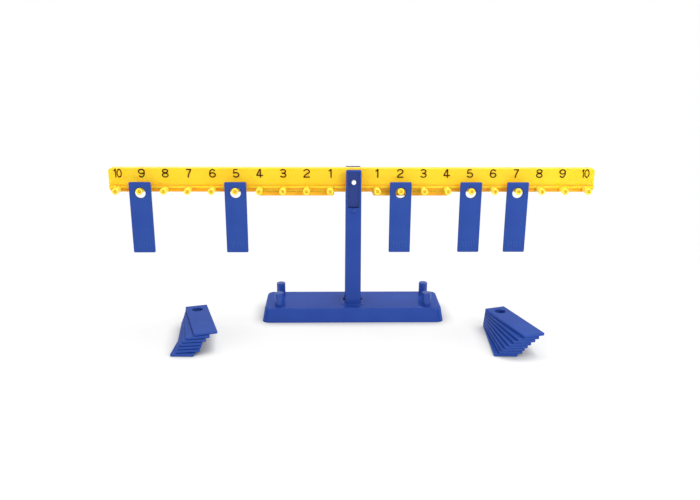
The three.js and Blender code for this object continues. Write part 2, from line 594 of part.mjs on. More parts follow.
// Beam: number plate with flange, rib and shelf, hub at the middle, a boss for each peg along the front
function makeBeam() {
  const section = [
    [BEAM_FACE_Y, BEAM_BOTTOM_Z],
    [BEAM_BACK_Y, BEAM_BOTTOM_Z],
    [BEAM_BACK_Y, SHELF_LOW_Z],
    [BEAM_DEPTH_Y, SHELF_LOW_Z],
    [BEAM_DEPTH_Y, LIP_TOP_Z],
    [BEAM_DEPTH_Y - LIP_THICK, LIP_TOP_Z],
    [BEAM_DEPTH_Y - LIP_THICK, SHELF_HIGH_Z],
    [BEAM_BACK_Y, SHELF_HIGH_Z],
    [BEAM_BACK_Y, BEAM_TOP_Z - FLANGE_THICK],
    [BEAM_DEPTH_Y, BEAM_TOP_Z - FLANGE_THICK],
    [BEAM_DEPTH_Y, BEAM_TOP_Z],
    [BEAM_FACE_Y, BEAM_TOP_Z],
    [BEAM_FACE_Y, RIB_HIGH_Z],
    [RIB_FRONT_Y, RIB_HIGH_Z],
    [RIB_FRONT_Y, RIB_LOW_Z],
    [BEAM_FACE_Y, RIB_LOW_Z],
  ];
  let beam = barX(section, -BEAM_HALF, BEAM_HALF);
  const ribFrom = BEAM_BACK_Y - ROOT;
  const ribTop = BEAM_TOP_Z - FLANGE_THICK / 2;
  const innerStop = SLIDER_IN_X - SLIDER_IN_TRAVEL - SEAT_GAP - BACK_RIB_THICK;
  const outerStop = SLIDER_OUT_X + SLIDER_OUT_TRAVEL + SEAT_GAP;
  const fullRibs = [innerStop, outerStop];
  for (let i = 1; i <= FULL_RIB_COUNT; i += 1) {
    fullRibs.push(outerStop + ((BEAM_HALF - outerStop) * i) / (FULL_RIB_COUNT + 1));
  }
  const shortRibs = [];
  for (let i = 1; i <= SHORT_RIB_COUNT; i += 1) {
    shortRibs.push(SLIDER_IN_X + (SLIDER_LENGTH * i) / (SHORT_RIB_COUNT + 1));
  }
  const halfRib = BACK_RIB_THICK / 2;
  for (const side of [-1, 1]) {
    const wallX = side * (BEAM_HALF - BEAM_END_WALL / 2);
    beam = beam.add(box(
      wallX - BEAM_END_WALL / 2,
      wallX + BEAM_END_WALL / 2,
      BEAM_FACE_Y,
      BEAM_DEPTH_Y,
      BEAM_BOTTOM_Z,
      BEAM_TOP_Z,
    ));
    for (const place of fullRibs) {
      const x = side * (place + halfRib);
      beam = beam.add(box(x - halfRib, x + halfRib, ribFrom, BACK_RIB_Y, SHELF_HIGH_Z - ROOT, ribTop));
    }
    for (const place of shortRibs) {
      const x = side * place;
      const ribLow = SLIDER_HOOK_Z + SLIDER_RIB_ROOM;
      beam = beam.add(box(x - halfRib, x + halfRib, ribFrom, BACK_RIB_Y, ribLow, ribTop));
    }
  }
  const trimFront = RIB_FRONT_Y - CUT_PAST;
  const trimBack = BEAM_DEPTH_Y + CUT_PAST;
  beam = beam.intersect(
    roundedSlabY(-BEAM_HALF, BEAM_HALF, BEAM_BOTTOM_Z, BEAM_TOP_Z, BEAM_CORNER_R, trimFront, trimBack),
  );
  const hubHalf = FORK_HALF_Y - SEAT_GAP;
  beam = beam.add(rodY(0, PIVOT_Z, HUB_R, -hubHalf, hubHalf, HUB_SIDES));
  for (let step = 1; step <= PEGS_PER_ARM; step += 1) {
    for (const x of [-step * PEG_PITCH, step * PEG_PITCH]) {
      beam = beam.add(rodY(x, PEG_Z, PEG_ROOT_R, BOSS_FRONT_Y, BOSS_BACK_Y, PEG_SIDES));
    }
  }
  const boreHalf = hubHalf + CUT_PAST;
  return beam.subtract(rodY(0, PIVOT_Z, PIN_R + PIN_HUB_GAP, -boreHalf, boreHalf, PIN_SIDES));
}

// Peg: slightly tapered, with a head that keeps a weight on and a dimple in its end,
// drawn upright on its seat
function makePeg() {
  const length = PEG_SEAT_Y - PEG_TIP_Y;
  const headLow = length - PEG_HEAD_LENGTH;
  return solidOf(spin([
    [0, 0],
    [PEG_ROOT_R, 0],
    [PEG_R, headLow],
    [PEG_HEAD_R, headLow + PEG_HEAD_SHOULDER],
    [PEG_HEAD_R, length - PEG_HEAD_CHAMFER],
    [PEG_TIP_R, length],
    [PEG_DIMPLE_R, length],
    [PEG_DIMPLE_R, length - PEG_DIMPLE_DEPTH],
    [0, length - PEG_DIMPLE_DEPTH],
  ], PEG_SIDES));
}

// Slider: a thin clip that hangs on the beam's rear shelf and shows under its lower edge,
// drawn about the middle of its length
function makeSlider() {
  const bladeTop = BEAM_BOTTOM_Z - SEAT_GAP;
  const bladeBackY = SLIDER_FRONT_Y + SLIDER_WALL;
  const guideTop = SHELF_LOW_Z - SEAT_GAP;
  const guideY = BEAM_BACK_Y + SEAT_GAP;
  const guideBackY = guideY + SLIDER_WALL;
  const floorZ = SLIDER_LOW_Z + SLIDER_WALL;
  const legY = BEAM_DEPTH_Y + SEAT_GAP;
  const toothLow = SHELF_HIGH_Z + SEAT_GAP;
  const toothY = BEAM_DEPTH_Y - LIP_THICK - SEAT_GAP;
  const section = [
    [SLIDER_FRONT_Y, SLIDER_LOW_Z],
    [SLIDER_BACK_Y, SLIDER_LOW_Z],
    [SLIDER_BACK_Y, SLIDER_HOOK_Z],
    [toothY - SLIDER_TOOTH_THICK, SLIDER_HOOK_Z],
    [toothY - SLIDER_TOOTH_THICK, toothLow],
    [toothY, toothLow],
    [toothY, SLIDER_HOOK_LOW_Z],
    [legY, SLIDER_HOOK_LOW_Z],
    [legY, floorZ],
    [guideBackY, floorZ],
    [guideBackY, guideTop],
    [guideY, guideTop],
    [guideY, floorZ],
    [bladeBackY, floorZ],
    [bladeBackY, bladeTop],
    [SLIDER_FRONT_Y, bladeTop],
  ];
  const half = SLIDER_LENGTH / 2;
  const outlineTop = SLIDER_HOOK_Z + SLIDER_CORNER_R + CUT_PAST;
  const front = SLIDER_FRONT_Y - CUT_PAST;
  const back = SLIDER_BACK_Y + CUT_PAST;
  const outline = roundedSlabY(-half, half, SLIDER_LOW_Z, outlineTop, SLIDER_CORNER_R, front, back);
  return barX(section, -half, half).intersect(outline);
}

// Weight drawn about the middle of its hole, lying flat, its long end towards -Y
function makeWeight() {
  const centreY = WEIGHT_HOLE_INSET - WEIGHT_LENGTH / 2;
  const ring = roundedRing(WEIGHT_WIDTH / 2, WEIGHT_LENGTH / 2, WEIGHT_CORNER_R, WEIGHT_CORNER_STEPS);
  const shape = new THREE.Shape(ring.map(([x, y]) => new THREE.Vector2(x, y + centreY)));
  const hole = [];
  for (let i = 0; i < WEIGHT_HOLE_SIDES; i += 1) {
    const angle = (-2 * Math.PI * i) / WEIGHT_HOLE_SIDES;
    hole.push(new THREE.Vector2(WEIGHT_HOLE_R * Math.cos(angle), WEIGHT_HOLE_R * Math.sin(angle)));
  }
  shape.holes.push(new THREE.Path(hole));
  return solidOf(new THREE.ExtrudeGeometry(shape, { depth: WEIGHT_THICK, bevelEnabled: false }));
}

function groupOf(name, meshes) {
  const group = new THREE.Group();
  group.name = name;
  meshes.forEach((mesh) => group.add(mesh));
  return group;
}

const stand = groupOf('stand', [
  meshOf('base_tray', makeBase(), plastic(BLUE, 0.3)),
  meshOf('upright_column', makeColumn(), plastic(BLUE, 0.35)),
  meshOf('pivot_pin', makePin(), plastic(WHITE, 0.45)),
]);

function sliderAt(name, x) {
  const slider = meshOf(name, makeSlider(), plastic(YELLOW, 0.4));
  slider.position.x = x;
  return slider;
}

const sliderX = (SLIDER_IN_X + SLIDER_OUT_X) / 2;
const arms = groupOf('arms', [
  meshOf('number_beam', makeBeam(), plastic(YELLOW, 0.35)),
  sliderAt('zero_slider_left', -sliderX),
  sliderAt('zero_slider_right', sliderX),
]);

// A peg points to the reader from its boss
function pegAt(name, x) {
  const peg = meshOf(name, makePeg(), plastic(YELLOW, 0.35));
  peg.rotation.x = Math.PI / 2;
  peg.position.set(x, PEG_SEAT_Y, PEG_Z);
  return peg;
}

const pegs = groupOf('pegs', []);
for (let step = 1; step <= PEGS_PER_ARM; step += 1) {
  pegs.add(pegAt(`peg_left_${step}`, -step * PEG_PITCH));
  pegs.add(pegAt(`peg_right_${step}`, step * PEG_PITCH));
}
arms.add(pegs);

// A hung weight is turned upright, its face to the reader
function hungWeight({ name, step }) {
  const weight = meshOf(name, makeWeight(), plastic(WEIGHT_BLUE, 0.35));
  weight.rotation.x = Math.PI / 2;
  weight.position.set(step * PEG_PITCH, WEIGHT_HUNG_FRONT_Y + WEIGHT_THICK, WEIGHT_HUNG_HOLE_Z);
  return weight;
}

// The places of a fan's weights: each one is shifted and turned a little against the one below
function fanOf(foot, top, turns) {
  return turns.map((turn, level) => {
    const share = level / (turns.length - 1);
    const at = foot.map((from, i) => from + (top[i] - from) * share);
    return { at, turn };
  });
}

// A stack is built from the table up
function stackOf(side, places) {
  return groupOf(`${side}_stack`, places.map(({ at: [x, y], turn }, level) => {
    const weight = meshOf(`spare_${side}_${level + 1}`, makeWeight(), plastic(WEIGHT_BLUE, 0.35));
    weight.rotation.z = THREE.MathUtils.degToRad(turn);
    weight.position.set(x, y, level * (WEIGHT_THICK + STACK_GAP));
    return weight;
  }));
}

const hung = groupOf('hung_weights', HUNG.map(hungWeight));
const leftStray = { at: LEFT_STRAY_AT, turn: LEFT_STRAY_TURN };
const leftFan = fanOf(LEFT_STACK_FOOT, LEFT_STACK_TOP, LEFT_STACK_TURNS);
const rightFan = fanOf(RIGHT_STACK_FOOT, RIGHT_STACK_TOP, RIGHT_STACK_TURNS);
const leftStack = stackOf('left', [leftStray, ...leftFan]);
const rightStack = stackOf('right', rightFan);
const balance = groupOf('math_balance', [stand, arms, hung, leftStack, rightStack]);

export default balance;
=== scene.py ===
"""Looks of a number balance: a yellow beam of pegs on a blue stand, with hung and stacked blue weights."""

from __future__ import annotations

import logging
import math
from collections.abc import Callable, Iterable, Sequence
from dataclasses import dataclass, replace
from enum import Enum

import bmesh
import bpy
from mathutils import Matrix, Vector


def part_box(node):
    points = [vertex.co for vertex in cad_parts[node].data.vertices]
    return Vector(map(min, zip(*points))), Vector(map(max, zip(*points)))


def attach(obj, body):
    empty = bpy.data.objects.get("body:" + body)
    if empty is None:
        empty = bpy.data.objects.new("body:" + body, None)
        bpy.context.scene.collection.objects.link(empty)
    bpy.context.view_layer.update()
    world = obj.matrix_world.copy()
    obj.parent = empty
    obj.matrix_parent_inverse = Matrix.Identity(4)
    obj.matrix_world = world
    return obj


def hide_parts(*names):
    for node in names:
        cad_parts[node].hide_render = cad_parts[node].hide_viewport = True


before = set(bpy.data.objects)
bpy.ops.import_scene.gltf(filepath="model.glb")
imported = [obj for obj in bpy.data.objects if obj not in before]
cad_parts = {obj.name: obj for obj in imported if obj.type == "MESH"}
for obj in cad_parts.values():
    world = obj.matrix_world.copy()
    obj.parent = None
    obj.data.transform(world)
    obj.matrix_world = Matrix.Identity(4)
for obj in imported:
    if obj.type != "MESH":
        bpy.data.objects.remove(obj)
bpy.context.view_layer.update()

LOG = logging.getLogger("number_balance")
MM = 0.001
PEG_PITCH = 31.75 * MM
PEGS_PER_ARM = 10
WHITE = (1.0, 1.0, 1.0, 1.0)
WHOLE = (0.0, 1.0)
QUARTER_TURN = 90.0
FULL_TURN = 360.0
# Share of its own width within which a stroke's two ends meet
CLOSED_SHARE = 0.01

Point = tuple[float, float]
Ring = list[Point]
Span = tuple[float, float]
Colour = tuple[float, float, float]
Place = tuple[float, float, float]
Socket = bpy.types.NodeSocket
Material = bpy.types.Material
Mesh = bpy.types.Mesh
Vert = bmesh.types.BMVert

# Stands a shape drawn in X and Y upright, its upper face to the front
UPRIGHT = Matrix.Rotation(math.radians(QUARTER_TURN), 4, "X")


class Slot(Enum):
    """The record's material slots, which no added piece uses."""

    WEIGHT = "weight_blue"
    BEAM = "beam_yellow"


class Arm(Enum):
    """The two arms of the beam, with the way each one points along X."""

    LEFT = -1
    RIGHT = 1

    @property
    def word(self) -> str:
        """The arm's name as it stands in the names of pieces."""
        return self.name.lower()


class Nodes:
    """Short ways to add and join shader nodes in one material or world."""

    def __init__(self, material: Material | bpy.types.World) -> None:
        """Clears the node tree of a material or world."""
        material.use_nodes = True
        self.tree = material.node_tree
        self.tree.nodes.clear()

    def add(self, kind: str, **inputs: object) -> bpy.types.Node:
        """Adds a node and sets its sockets.

        Args:
            kind: The node's type name.
            **inputs: Socket names, with _ for a space, and their values.

        Returns:
            The new node.
        """
        node = self.tree.nodes.new(kind)
        for name, value in inputs.items():
            node.inputs[name.replace("_", " ")].default_value = value
        return node

    def join(self, source: Socket, target: Socket) -> None:
        """Joins one node's output to another's input."""
        self.tree.links.new(source, target)

    def end(self, shader: Socket, kind: str = "ShaderNodeOutputMaterial") -> None:
        """Makes a shader the material's surface."""
        self.join(shader, self.add(kind).inputs["Surface"])

    def noise(self, space: Socket, scale: float, detail: float) -> Socket:
        """Adds a noise texture.

        Args:
            space: The coordinates it is laid in.
            scale: Its spots per metre.
            detail: How many finer layers it has.

        Returns:
            The noise's value.
        """
        node = self.add("ShaderNodeTexNoise", Scale=scale, Detail=detail)
        self.join(space, node.inputs["Vector"])
        return node.outputs["Fac"]

    def remap(self, value: Socket, span: Span, to: Span = WHOLE) -> Socket:
        """Stretches a span of values to another one.

        Args:
            value: The value to stretch.
            span: The lowest and highest value that count.
            to: What those two become.

        Returns:
            The stretched value.
        """
        limits = {"From_Min": span[0], "From_Max": span[1], "To_Min": to[0], "To_Max": to[1]}
        node = self.add("ShaderNodeMapRange", **limits)
        self.join(value, node.inputs["Value"])
        return node.outputs["Result"]

    def part(self, vector: Socket, axis: str) -> Socket:
        """Takes a vector's X, Y or Z."""
        apart = self.add("ShaderNodeSeparateXYZ")
        self.join(vector, apart.inputs["Vector"])
        return apart.outputs[axis]

    def maths(self, operation: str, *values: Socket | float) -> Socket:
        """Adds a calculation.

        Args:
            operation: Its name.
            *values: What it works on, each a socket or a plain number.

        Returns:
            The result.
        """
        node = self.tree.nodes.new("ShaderNodeMath")
        node.operation = operation
        for target, value in zip(node.inputs, values):
            if isinstance(value, Socket):
                self.join(value, target)
            else:
                target.default_value = value
        return node.outputs["Value"]

    def mix_shaders(self, share: Socket, first: Socket, second: Socket) -> Socket:
        """Mixes two shaders.

        Args:
            share: How much of the second one shows.
            first: The first shader.
            second: The second shader.

        Returns:
            The mixed shader.
        """
        node = self.add("ShaderNodeMixShader")
        for target, source in zip(node.inputs, (share, first, second)):
            self.join(source, target)
        return node.outputs["Shader"]

    def blend(self, share: Socket, low: object, high: object) -> Socket:
        """Mixes two colours.

        Args:
            share: How much of the second colour shows.
            low: The first colour, or a socket that gives it.
            high: The second colour, or a socket that gives it.

        Returns:
            The mixed colour.
        """
        node = self.tree.nodes.new("ShaderNodeMix")
        node.data_type = "RGBA"
        colour_inputs = [socket for socket in node.inputs if socket.type == "RGBA"]
        self.join(share, node.inputs[0])
        for socket, colour in zip(colour_inputs, (low, high)):
            if isinstance(colour, Socket):
                self.join(colour, socket)
            else:
                socket.default_value = (*colour, 1.0)
        return next(socket for socket in node.outputs if socket.type == "RGBA")


@dataclass(frozen=True)
class MouldedPlastic:
    """Moulded plastic: slightly clouded colour, orange peel, fine rubbing marks and paler edges, partly wear
    and partly painted highlight.

    Heights and depths are those of the whole object at rest.

    Attributes:
        coat: The gloss, which rises to polish over the heights of polish_span.
        recess: Painted shade, a deeper colour in corners that ambient occlusion finds and, by thick_most,
            below thick_span.
        sunk: Painted shade, a darker colour on front and back faces that lie deeper than sunk_span.
        glow: How much light goes into it, with glow_radius and glow_depth for how far.
        edge_round: The radius that sharp edges seem to have.
    """

    name: str
    colour: Colour
    cloud: Colour
    # Paler colour at edges, partly wear and partly a painted highlight
    edge: Colour
    roughness: Span
    specular: float
    coat: float = 0.0
    coat_roughness: float = 0.08
    polish: float = 0.0
    polish_span: Span = (0.0, 0.0)
    # Colour of the painted shade in corners, and below a set height where one is given
    recess: Colour | None = None
    recess_reach: float = 0.014
    recess_span: Span = (0.8, 0.35)
    thick_span: Span | None = None
    thick_most: float = 0.85
    # Colour of the painted shade on front and back faces set back from the outer ones
    sunk: Colour | None = None
    sunk_span: Span = (0.0166, 0.0159)
    sunk_facing: Span = (0.7, 0.9)
    glow: float = 0.0
    glow_radius: Colour = (1.0, 0.5, 0.1)
    glow_depth: float = 0.0015
    cloud_scale: float = 26.0
    cloud_detail: float = 3.0
    cloud_span: Span = (0.35, 0.7)
    edge_round: float = 0.0004
    edge_samples: int = 6
    edge_span: Span = (0.995, 0.8)
    edge_most: float = 0.3
    rub_stretch: Place = (700.0, 45.0, 45.0)
    rub_scale: float = 1.0
    rub_detail: float = 4.0
    rub_span: Span = (0.3, 0.72)
    peel_scale: float = 420.0
    peel_detail: float = 2.0
    peel_depth: float = 0.000012
    peel_strength: float = 0.25

    def _body(self, nodes: Nodes, space: Socket) -> Socket:
        """Mixes the plastic's colour from its clouds and from painted shade in its corners, below a set
        height and on faces set back.

        Args:
            nodes: The material's nodes.
            space: The solid's coordinates.

        Returns:
            The colour away from the edges' wear and painted highlight.
        """
        noise = nodes.noise(space, self.cloud_scale, self.cloud_detail)
        body = nodes.blend(nodes.remap(noise, self.cloud_span), self.colour, self.cloud)
        # Painted shade: the colour deepens in corners where ambient occlusion finds nearby surfaces.
        if self.recess is not None:
            corner_occlusion = nodes.add("ShaderNodeAmbientOcclusion", Distance=self.recess_reach)
            body = nodes.blend(nodes.remap(corner_occlusion.outputs["AO"], self.recess_span), body, self.recess)
        # Painted shade: below a set height the colour deepens towards the shade colour, for the band under
        # the beam's rib.
        if self.recess is not None and self.thick_span is not None:
            band_shade = nodes.remap(nodes.part(space, "Z"), self.thick_span, (0.0, self.thick_most))
            body = nodes.blend(band_shade, body, self.recess)
        # Painted shade: front and back faces set back behind the column's outer faces get a darker colour.
        if self.sunk is not None:
            normal = nodes.add("ShaderNodeNewGeometry").outputs["Normal"]
            inwards = nodes.maths("ABSOLUTE", nodes.part(space, "Y"))
            outwards = nodes.maths("ABSOLUTE", nodes.part(normal, "Y"))
            deep = nodes.remap(inwards, self.sunk_span)
            share = nodes.maths("MULTIPLY", deep, nodes.remap(outwards, self.sunk_facing))
            body = nodes.blend(share, body, self.sunk)
        return body

    def _worn(self, nodes: Nodes, body: Socket, normal: Socket) -> Socket:
        """Makes the colour paler at edges, where the rounded normal turns away from the face: partly wear,
        partly a painted highlight.

        Args:
            nodes: The material's nodes.
            body: The colour away from edges.
            normal: The normal over rounded edges.

        Returns:
            The whole colour.
        """
        turned = nodes.tree.nodes.new("ShaderNodeVectorMath")
        turned.operation = "DOT_PRODUCT"
        nodes.join(normal, turned.inputs[0])
        nodes.join(nodes.add("ShaderNodeNewGeometry").outputs["Normal"], turned.inputs[1])
        wear_and_highlight = nodes.remap(turned.outputs["Value"], self.edge_span, (0.0, self.edge_most))
        return nodes.blend(wear_and_highlight, body, self.edge)

    def material(self) -> Material:
        """Builds the finish.

        Returns:
            The material.
        """
        made = bpy.data.materials.new(self.name)
        nodes = Nodes(made)
        space = nodes.add("ShaderNodeTexCoord").outputs["Object"]
        shader = nodes.add(
            "ShaderNodeBsdfPrincipled",
            Specular_IOR_Level=self.specular,
            Coat_Weight=self.coat,
            Coat_Roughness=self.coat_roughness,
            Subsurface_Weight=self.glow,
            Subsurface_Radius=self.glow_radius,
            Subsurface_Scale=self.glow_depth,
        )
        if self.polish > self.coat:
            polished = nodes.remap(nodes.part(space, "Z"), self.polish_span, (self.coat, self.polish))
            nodes.join(polished, shader.inputs["Coat Weight"])
        rounded = nodes.add("ShaderNodeBevel", Radius=self.edge_round)
        rounded.samples = self.edge_samples
        normal = rounded.outputs["Normal"]
        colour = self._worn(nodes, self._body(nodes, space), normal)
        nodes.join(colour, shader.inputs["Base Color"])

        stretch = nodes.add("ShaderNodeMapping", Scale=self.rub_stretch)
        nodes.join(space, stretch.inputs["Vector"])
        rubs = nodes.noise(stretch.outputs["Vector"], self.rub_scale, self.rub_detail)
        nodes.join(nodes.remap(rubs, self.rub_span, self.roughness), shader.inputs["Roughness"])

        peel = nodes.add("ShaderNodeBump", Strength=self.peel_strength, Distance=self.peel_depth)
        nodes.join(nodes.noise(space, self.peel_scale, self.peel_detail), peel.inputs["Height"])
        nodes.join(normal, peel.inputs["Normal"])
        for target in ("Normal", "Coat Normal"):
            nodes.join(peel.outputs["Normal"], shader.inputs[target])
        nodes.end(shader.outputs["BSDF"])
        return made


@dataclass(frozen=True)
class PadPrint:
    """Dark ink stamped on the beam, a little thin in places."""

    name: str
    ink: Colour
    thin: Colour
    roughness: Span = (0.5, 0.62)
    specular: float = 0.03
    patch_scale: float = 420.0
    patch_detail: float = 3.0
    patch_span: Span = (0.4, 0.72)
    patch_most: float = 0.6

    def material(self) -> Material:
        """Builds the finish.

        Returns:
            The material.
        """
        made = bpy.data.materials.new(self.name)
        nodes = Nodes(made)
        space = nodes.add("ShaderNodeTexCoord").outputs["Object"]
        shader = nodes.add("ShaderNodeBsdfPrincipled", Specular_IOR_Level=self.specular)
        noise = nodes.noise(space, self.patch_scale, self.patch_detail)
        patches = nodes.remap(noise, self.patch_span, (0.0, self.patch_most))
        nodes.join(nodes.blend(patches, self.ink, self.thin), shader.inputs["Base Color"])
        rough = nodes.remap(patches, (0.0, self.patch_most), self.roughness)
        nodes.join(rough, shader.inputs["Roughness"])
        nodes.end(shader.outputs["BSDF"])
        return made


BODY_BLUE = MouldedPlastic(
    name="stand_blue_plastic",
    colour=(0.017, 0.053, 0.285),
    cloud=(0.02, 0.06, 0.305),
    edge=(0.05, 0.16, 0.5),
    edge_most=0.5,
    roughness=(0.3, 0.42),
    specular=0.0,
    coat=0.28,
    coat_roughness=0.11,
)
COLUMN_BLUE = replace(
    BODY_BLUE,
    name="column_blue_plastic",
    # Painted shade on the column's set-back panels
    sunk=(0.022, 0.044, 0.2),
)
BASE_BLUE = replace(
    BODY_BLUE,
    name="base_blue_plastic",
    edge_most=0.25,
    polish=0.7,
    polish_span=(0.0208, 0.024),
)
WEIGHT_BLUE = MouldedPlastic(
    name="weight_blue_plastic",
    colour=(0.021, 0.062, 0.3),
    cloud=(0.025, 0.07, 0.32),
    # Strongly paler edges: partly wear, partly a painted highlight on the plates' edges
    edge=(0.08, 0.22, 0.58),
    edge_most=0.7,
    roughness=(0.36, 0.48),
    specular=0.0,
    coat=0.25,
    coat_roughness=0.12,
    cloud_scale=34.0,
)
BEAM_YELLOW = MouldedPlastic(
    name="beam_yellow_plastic",
    colour=(0.95, 0.62, 0.018),
    cloud=(0.96, 0.665, 0.028),
    edge=(0.97, 0.76, 0.1),
    roughness=(0.28, 0.4),
    specular=0.3,
    glow=0.9,
    glow_radius=(1.0, 0.5, 0.05),
    glow_depth=0.006,
    # Painted shade in the beam's corners and on the band below its rib
    recess=(1.0, 0.45, 0.012),
    thick_span=(0.1831, 0.1827),
    cloud_scale=14.0,
)
# Painted light: paler than the beam's yellow to stand in for the light on the pegs, with painted shade in the
# dimples
PEG_LIT_YELLOW = MouldedPlastic(
    name="peg_lit_yellow_plastic",
    colour=(0.97, 0.72, 0.06),
    cloud=(0.98, 0.76, 0.08),
    edge=(0.98, 0.84, 0.22),
    roughness=(0.26, 0.38),
    specular=0.2,
    coat=0.4,
    glow=0.5,
    glow_radius=(1.0, 0.6, 0.1),
    glow_depth=0.003,
    recess=(1.0, 0.68, 0.05),
    recess_reach=0.004,
    cloud_scale=40.0,
)
# Painted shade: deeper orange than the beam's yellow, for the sliders' place under the beam's rib
SLIDER_SHADED_YELLOW = MouldedPlastic(
    name="slider_shaded_yellow_plastic",
    colour=(0.99, 0.46, 0.012),
    cloud=(1.0, 0.49, 0.016),
    edge=(0.97, 0.62, 0.06),
    roughness=(0.3, 0.42),
    specular=0.25,
    glow=0.3,
    glow_radius=(1.0, 0.45, 0.04),
    glow_depth=0.003,
    cloud_scale=18.0,
)
PIN_WHITE = MouldedPlastic(
    name="pin_white_plastic",
    colour=(0.86, 0.86, 0.85),
    cloud=(0.9, 0.9, 0.89),
    edge=(0.94, 0.94, 0.93),
    roughness=(0.4, 0.52),
    specular=0.4,
    cloud_scale=90.0,
)
NUMBER_INK = PadPrint(name="number_ink", ink=(0.06, 0.006, 0.001), thin=(0.09, 0.013, 0.002))


def rounded_ring(half_x: float, half_y: float, radius: float, steps: int, centre: Point) -> Ring:
    """Draws a rectangle with round corners, anticlockwise.

    Args:
        half_x: Half its width.
        half_y: Half its height.
        radius: The corners' radius.
        steps: Facets in each corner.
        centre: Its middle.

    Returns:
        The points of the ring.
    """
    ring = []
    corners = ((1, 1), (-1, 1), (-1, -1), (1, -1))
    for number, (sx, sy) in enumerate(corners):
        for i in range(steps + 1):
            angle = math.pi / 2 * (number + i / steps)
            x = centre[0] + sx * (half_x - radius) + radius * math.cos(angle)
            y = centre[1] + sy * (half_y - radius) + radius * math.sin(angle)
            ring.append((x, y))
    return ring


def round_ring(radius: float, sides: int) -> Ring:
    """Draws a circle about the origin, anticlockwise."""
    angles = [2 * math.pi * i / sides for i in range(sides)]
    return [(radius * math.cos(angle), radius * math.sin(angle)) for angle in angles]


def upper_edge(height: float, edge: float, steps: int, rim: float) -> Ring:
    """Lists how far a plate's upper rounded edge lies in, and how high, from its side to its flat face.

    Args:
        height: The plate's thickness.
        edge: The edge's radius.
        steps: Facets in the edge.
        rim: Width of the flat ring inside the edge.

    Returns:
        Pairs of inset and height.
    """
    angles = [math.pi / 2 * i / steps for i in range(steps + 1)]
    rise = [(edge * (1 - math.cos(angle)), height - edge * (1 - math.sin(angle))) for angle in angles]
    return [*rise, (edge + rim, height)]


def edge_profile(height: float, edge: float, steps: int, rim: float) -> Ring:
    """Lists the same for both edges, from the plate's lower face to its upper one.

    Args:
        height: The plate's thickness.
        edge: The edges' radius.
        steps: Facets in each edge.
        rim: Width of the flat ring inside each edge.

    Returns:
        Pairs of inset and height.
    """
    rise = upper_edge(height, edge, steps, rim)
    return [(inset, height - z) for inset, z in reversed(rise)] + rise


def smooth_mesh(bm: bmesh.types.BMesh, name: str, smooth_degrees: float) -> Mesh:
    """Ends a mesh and shades it smooth.

    Args:
        bm: The drawn mesh, which is freed.
        name: The mesh's name.
        smooth_degrees: Edges that turn more than this stay sharp.

    Returns:
        The mesh.
    """
    mesh = bpy.data.meshes.new(name)
    bm.normal_update()
    bm.to_mesh(mesh)
    bm.free()
    mesh.polygons.foreach_set("use_smooth", [True] * len(mesh.polygons))
    mesh.set_sharp_from_angle(angle=math.radians(smooth_degrees))
    return mesh


class PlateMesh:
    """Collects plates with rounded edges into one mesh."""

    smooth_degrees = 35.0

    def __init__(self) -> None:
        """Starts with an empty mesh."""
        self.bm = bmesh.new()

    def _wall(self, loops: Sequence[list[Vert]], outward: bool) -> None:
        """Joins each loop to the next one with faces that look out of the plate, or into its hole."""
        for low, high in zip(loops, loops[1:]):
            count = len(low)
            for i in range(count):
                j = (i + 1) % count
                corners = (low[i], low[j], high[j], high[i])
                self.bm.faces.new(corners if outward else corners[::-1])

    def _cap(self, loops: Iterable[list[Vert]], up: bool) -> None:
        """Fills the flat face between the given loops."""
        edges = []
        for loop in loops:
            for i, vert in enumerate(loop):
                edges.append(self.bm.edges.get((vert, loop[(i + 1) % len(loop)])))
        normal = Vector((0.0, 0.0, 1.0 if up else -1.0))
        made = bmesh.ops.triangle_fill(
            self.bm, use_beauty=True, use_dissolve=False, edges=edges, normal=normal
        )
        for face in (g for g in made["geom"] if isinstance(g, bmesh.types.BMFace)):
            face.normal_update()
            if face.normal.dot(normal) < 0:
                face.normal_flip()

    def add(
        self,
        outline: Callable[[float], Ring],
        hole: Callable[[float], Ring] | None,
        profile: Sequence[Point],
        base_z: float = 0.0,
    ) -> None:
        """Adds one plate.

        Args:
            outline: Gives the outline's ring for an inset.
            hole: Gives the hole's ring for an inset, or None for a plate with no hole.
            profile: Pairs of inset and height from the lower face to the upper one.
            base_z: The height of the lower face.
        """
        def loop(ring: Ring, z: float) -> list[Vert]:
            """Adds one ring's points."""
            return [self.bm.verts.new((x, y, base_z + z)) for x, y in ring]

        walls = [loop(outline(inset), z) for inset, z in profile]
        self._wall(walls, outward=True)
        holes = [loop(hole(inset), z) for inset, z in profile] if hole else []
        self._wall(holes, outward=False)
        self._cap([walls[0], *holes[:1]], up=False)
        self._cap([walls[-1], *holes[-1:]], up=True)

    def finish(self, name: str) -> Mesh:
        """Ends the mesh under a name."""
        return smooth_mesh(self.bm, name, self.smooth_degrees)


def piece(name: str, mesh: Mesh, material: Material, place: Matrix) -> bpy.types.Object:
    """Puts a mesh in the scene.

    Args:
        name: The piece's name.
        mesh: Its mesh.
        material: Its finish.
        place: Where it stands in the frame.

    Returns:
        The new object.
    """
    made = bpy.data.objects.new(name, mesh)
    bpy.context.scene.collection.objects.link(made)
    if not mesh.materials:
        mesh.materials.append(material)
    made.matrix_world = place
    return made


